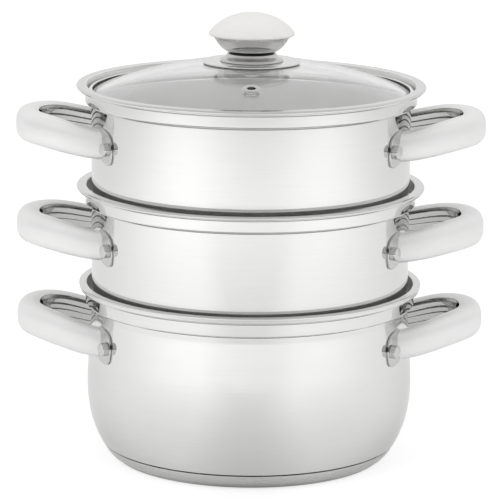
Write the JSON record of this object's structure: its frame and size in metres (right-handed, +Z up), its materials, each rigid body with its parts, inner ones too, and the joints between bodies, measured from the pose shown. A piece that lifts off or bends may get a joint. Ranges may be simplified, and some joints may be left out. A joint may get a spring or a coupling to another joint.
{
  "type": "three-tier steamer pot",
  "caption": "Stainless steel steamer pot: a bellied pot, stacked perforated steamers with loop handles, and a domed glass lid with a knob and steam vent.",
  "frame": {"origin": "centre of the pot's flat underside, on the surface that it stands on", "axes": "+Z up along the stack's axis, the handles along +X and -X, the steam vent in the lid towards -Y (the front)"},
  "size_m": [0.2662, 0.1978, 0.2557],
  "materials": {
    "satin_steel": "satin, very fine turned grain",
    "polished_steel": "mirror polished stainless steel",
    "aluminium": "plain rolled",
    "glass": "clear tempered glass",
    "black_seal": "matt black silicone",
    "black_plastic": "matt black heat-resistant plastic"
  },
  "bodies": {
    "pot": {"pot_shell": "satin_steel", "pot_base_core": "aluminium", "pot_base_cap": "satin_steel", "pot_handle_right": "polished_steel", "pot_handle_left": "polished_steel", "pot_rivet_right_front": "polished_steel", "pot_rivet_right_back": "polished_steel", "pot_rivet_left_front": "polished_steel", "pot_rivet_left_back": "polished_steel"},
    "middle_steamer": {"middle_steamer_shell": "satin_steel", "middle_handle_right": "polished_steel", "middle_handle_left": "polished_steel", "middle_rivet_right_front": "polished_steel", "middle_rivet_right_back": "polished_steel", "middle_rivet_left_front": "polished_steel", "middle_rivet_left_back": "polished_steel"},
    "top_steamer": {"top_steamer_shell": "satin_steel", "top_handle_right": "polished_steel", "top_handle_left": "polished_steel", "top_rivet_right_front": "polished_steel", "top_rivet_right_back": "polished_steel", "top_rivet_left_front": "polished_steel", "top_rivet_left_back": "polished_steel"},
    "lid": {"lid_glass": "glass", "lid_ring": "polished_steel", "lid_seal": "black_seal", "vent_eyelet": "polished_steel", "knob_flange": "polished_steel", "knob_base_ring": "polished_steel", "knob_core": "black_plastic", "knob_bowl": "polished_steel", "knob_cap": "satin_steel", "knob_screw": "polished_steel", "screw_gasket": "black_seal", "screw_washer": "polished_steel"}
  },
  "joints": [
    {"name": "middle_steamer_lift", "type": "slide", "parent": "pot", "child": "middle_steamer", "axis": [0, 0, 1], "range_m": [0, 0.12]},
    {"name": "top_steamer_lift", "type": "slide", "parent": "middle_steamer", "child": "top_steamer", "axis": [0, 0, 1], "range_m": [0, 0.12]},
    {"name": "lid_lift", "type": "slide", "parent": "top_steamer", "child": "lid", "axis": [0, 0, 1], "range_m": [0, 0.1]}
  ]
}
